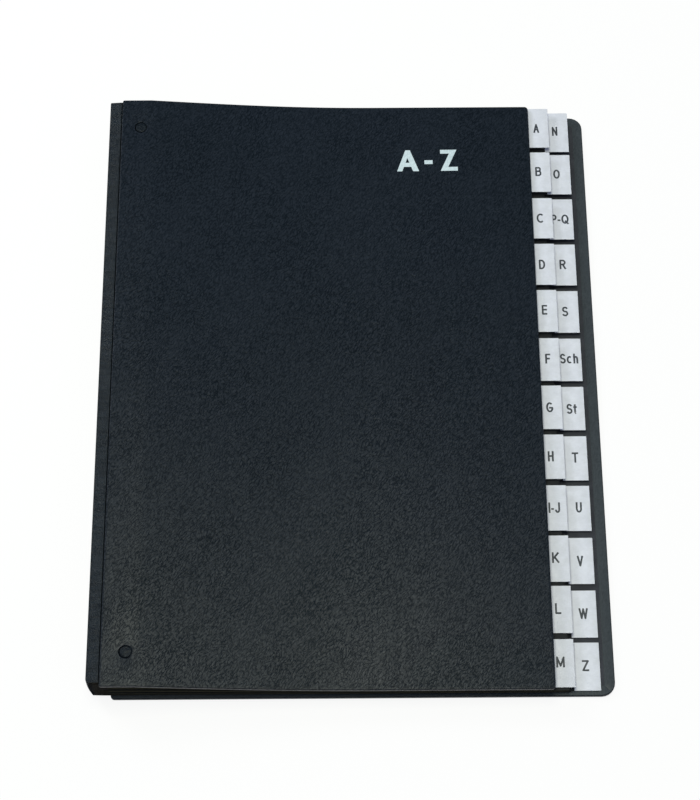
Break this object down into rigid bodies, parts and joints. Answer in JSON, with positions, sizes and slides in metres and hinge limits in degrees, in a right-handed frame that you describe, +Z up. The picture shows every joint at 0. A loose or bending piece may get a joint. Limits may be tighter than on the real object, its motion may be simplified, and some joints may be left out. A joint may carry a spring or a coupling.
{
  "type": "alphabetical desk sorter",
  "caption": "Closed alphabetical desk sorter: grained board covers, a pleated expanding spine and card index leaves whose lettered tabs step down the free edge in columns.",
  "frame": {"origin": "under the middle of the closed sorter, on the surface that it lies on", "axes": "+X from the pleated spine to the tabs, +Y from the bottom edge to the top edge, +Z up through the leaves"},
  "size_m": [0.265, 0.34, 0.0238],
  "materials": {
    "grey_board": "matte",
    "grained_wrap": "satin",
    "black_card": "matte",
    "bellows_cloth": "satin",
    "white_label": "satin",
    "rivet": "satin"
  },
  "bodies": {
    "back_cover": {"back_cover_board": "grey_board", "back_cover_wrap": "grained_wrap", "back_cover_lining": "black_card", "back_pleat": "bellows_cloth", "back_rivets": "rivet"},
    "leaf_z": {"leaf_z": "black_card", "tab_z": "white_label"},
    "leaf_w": {"leaf_w": "black_card", "tab_w": "white_label"},
    "leaf_v": {"leaf_v": "black_card", "tab_v": "white_label"},
    "leaf_u": {"leaf_u": "black_card", "tab_u": "white_label"},
    "leaf_t": {"leaf_t": "black_card", "tab_t": "white_label"},
    "leaf_st": {"leaf_st": "black_card", "tab_st": "white_label"},
    "leaf_sch": {"leaf_sch": "black_card", "tab_sch": "white_label"},
    "leaf_s": {"leaf_s": "black_card", "tab_s": "white_label"},
    "leaf_r": {"leaf_r": "black_card", "tab_r": "white_label"},
    "leaf_pq": {"leaf_pq": "black_card", "tab_pq": "white_label"},
    "leaf_o": {"leaf_o": "black_card", "tab_o": "white_label"},
    "leaf_n": {"leaf_n": "black_card", "tab_n": "white_label"},
    "leaf_m": {"leaf_m": "black_card", "tab_m": "white_label"},
    "leaf_l": {"leaf_l": "black_card", "tab_l": "white_label"},
    "leaf_k": {"leaf_k": "black_card", "tab_k": "white_label"},
    "leaf_ij": {"leaf_ij": "black_card", "tab_ij": "white_label"},
    "leaf_h": {"leaf_h": "black_card", "tab_h": "white_label"},
    "leaf_g": {"leaf_g": "black_card", "tab_g": "white_label"},
    "leaf_f": {"leaf_f": "black_card", "tab_f": "white_label"},
    "leaf_e": {"leaf_e": "black_card", "tab_e": "white_label"},
    "leaf_d": {"leaf_d": "black_card", "tab_d": "white_label"},
    "leaf_c": {"leaf_c": "black_card", "tab_c": "white_label"},
    "leaf_b": {"leaf_b": "black_card", "tab_b": "white_label"},
    "leaf_a": {"leaf_a": "black_card", "tab_a": "white_label"},
    "front_cover": {"front_cover_board": "grey_board", "front_cover_wrap": "grained_wrap", "front_cover_lining": "black_card", "front_pleat": "bellows_cloth", "front_rivets": "rivet"}
  },
  "joints": [
    {"name": "bellows_spread", "type": "hinge", "parent": "back_cover", "child": "leaf_z", "pos_m": [-0.1305, 0, 0.0029], "axis": [0, -1, 0], "range_deg": [0, 3]},
    {"name": "pleat_w", "type": "hinge", "parent": "leaf_z", "child": "leaf_w", "pos_m": [-0.13058, 0, 0.00365], "axis": [0, -1, 0], "range_deg": [0, 3]},
    {"name": "pleat_v", "type": "hinge", "parent": "leaf_w", "child": "leaf_v", "pos_m": [-0.13067, 0, 0.0044], "axis": [0, -1, 0], "range_deg": [0, 3]},
    {"name": "pleat_u", "type": "hinge", "parent": "leaf_v", "child": "leaf_u", "pos_m": [-0.13075, 0, 0.00515], "axis": [0, -1, 0], "range_deg": [0, 3]},
    {"name": "pleat_t", "type": "hinge", "parent": "leaf_u", "child": "leaf_t", "pos_m": [-0.13083, 0, 0.0059], "axis": [0, -1, 0], "range_deg": [0, 3]},
    {"name": "pleat_st", "type": "hinge", "parent": "leaf_t", "child": "leaf_st", "pos_m": [-0.13092, 0, 0.00665], "axis": [0, -1, 0], "range_deg": [0, 3]},
    {"name": "pleat_sch", "type": "hinge", "parent": "leaf_st", "child": "leaf_sch", "pos_m": [-0.131, 0, 0.0074], "axis": [0, -1, 0], "range_deg": [0, 3]},
    {"name": "pleat_s", "type": "hinge", "parent": "leaf_sch", "child": "leaf_s", "pos_m": [-0.13108, 0, 0.00815], "axis": [0, -1, 0], "range_deg": [0, 3]},
    {"name": "pleat_r", "type": "hinge", "parent": "leaf_s", "child": "leaf_r", "pos_m": [-0.13117, 0, 0.0089], "axis": [0, -1, 0], "range_deg": [0, 3]},
    {"name": "pleat_pq", "type": "hinge", "parent": "leaf_r", "child": "leaf_pq", "pos_m": [-0.13125, 0, 0.00965], "axis": [0, -1, 0], "range_deg": [0, 3]},
    {"name": "pleat_o", "type": "hinge", "parent": "leaf_pq", "child": "leaf_o", "pos_m": [-0.13133, 0, 0.0104], "axis": [0, -1, 0], "range_deg": [0, 3]},
    {"name": "pleat_n", "type": "hinge", "parent": "leaf_o", "child": "leaf_n", "pos_m": [-0.13142, 0, 0.01115], "axis": [0, -1, 0], "range_deg": [0, 3]},
    {"name": "pleat_m", "type": "hinge", "parent": "leaf_n", "child": "leaf_m", "pos_m": [-0.1315, 0, 0.0119], "axis": [0, -1, 0], "range_deg": [0, 3]},
    {"name": "pleat_l", "type": "hinge", "parent": "leaf_m", "child": "leaf_l", "pos_m": [-0.13158, 0, 0.01265], "axis": [0, -1, 0], "range_deg": [0, 3]},
    {"name": "pleat_k", "type": "hinge", "parent": "leaf_l", "child": "leaf_k", "pos_m": [-0.13167, 0, 0.0134], "axis": [0, -1, 0], "range_deg": [0, 3]},
    {"name": "pleat_ij", "type": "hinge", "parent": "leaf_k", "child": "leaf_ij", "pos_m": [-0.13175, 0, 0.01415], "axis": [0, -1, 0], "range_deg": [0, 3]},
    {"name": "pleat_h", "type": "hinge", "parent": "leaf_ij", "child": "leaf_h", "pos_m": [-0.13183, 0, 0.0149], "axis": [0, -1, 0], "range_deg": [0, 3]},
    {"name": "pleat_g", "type": "hinge", "parent": "leaf_h", "child": "leaf_g", "pos_m": [-0.13192, 0, 0.01565], "axis": [0, -1, 0], "range_deg": [0, 3]},
    {"name": "pleat_f", "type": "hinge", "parent": "leaf_g", "child": "leaf_f", "pos_m": [-0.132, 0, 0.0164], "axis": [0, -1, 0], "range_deg": [0, 3]},
    {"name": "pleat_e", "type": "hinge", "parent": "leaf_f", "child": "leaf_e", "pos_m": [-0.13208, 0, 0.01715], "axis": [0, -1, 0], "range_deg": [0, 3]},
    {"name": "pleat_d", "type": "hinge", "parent": "leaf_e", "child": "leaf_d", "pos_m": [-0.13217, 0, 0.0179], "axis": [0, -1, 0], "range_deg": [0, 3]},
    {"name": "pleat_c", "type": "hinge", "parent": "leaf_d", "child": "leaf_c", "pos_m": [-0.13225, 0, 0.01865], "axis": [0, -1, 0], "range_deg": [0, 3]},
    {"name": "pleat_b", "type": "hinge", "parent": "leaf_c", "child": "leaf_b", "pos_m": [-0.13233, 0, 0.0194], "axis": [0, -1, 0], "range_deg": [0, 3]},
    {"name": "pleat_a", "type": "hinge", "parent": "leaf_b", "child": "leaf_a", "pos_m": [-0.13242, 0, 0.02015], "axis": [0, -1, 0], "range_deg": [0, 3]},
    {"name": "front_cover_hinge", "type": "hinge", "parent": "leaf_a", "child": "front_cover", "pos_m": [-0.1325, 0, 0.0209], "axis": [0, -1, 0], "range_deg": [0, 105]}
  ],
  "couplings": [
    {"joint": "pleat_w", "follows": "bellows_spread", "ratio": 1},
    {"joint": "pleat_v", "follows": "bellows_spread", "ratio": 1},
    {"joint": "pleat_u", "follows": "bellows_spread", "ratio": 1},
    {"joint": "pleat_t", "follows": "bellows_spread", "ratio": 1},
    {"joint": "pleat_st", "follows": "bellows_spread", "ratio": 1},
    {"joint": "pleat_sch", "follows": "bellows_spread", "ratio": 1},
    {"joint": "pleat_s", "follows": "bellows_spread", "ratio": 1},
    {"joint": "pleat_r", "follows": "bellows_spread", "ratio": 1},
    {"joint": "pleat_pq", "follows": "bellows_spread", "ratio": 1},
    {"joint": "pleat_o", "follows": "bellows_spread", "ratio": 1},
    {"joint": "pleat_n", "follows": "bellows_spread", "ratio": 1},
    {"joint": "pleat_m", "follows": "bellows_spread", "ratio": 1},
    {"joint": "pleat_l", "follows": "bellows_spread", "ratio": 1},
    {"joint": "pleat_k", "follows": "bellows_spread", "ratio": 1},
    {"joint": "pleat_ij", "follows": "bellows_spread", "ratio": 1},
    {"joint": "pleat_h", "follows": "bellows_spread", "ratio": 1},
    {"joint": "pleat_g", "follows": "bellows_spread", "ratio": 1},
    {"joint": "pleat_f", "follows": "bellows_spread", "ratio": 1},
    {"joint": "pleat_e", "follows": "bellows_spread", "ratio": 1},
    {"joint": "pleat_d", "follows": "bellows_spread", "ratio": 1},
    {"joint": "pleat_c", "follows": "bellows_spread", "ratio": 1},
    {"joint": "pleat_b", "follows": "bellows_spread", "ratio": 1},
    {"joint": "pleat_a", "follows": "bellows_spread", "ratio": 1}
  ]
}
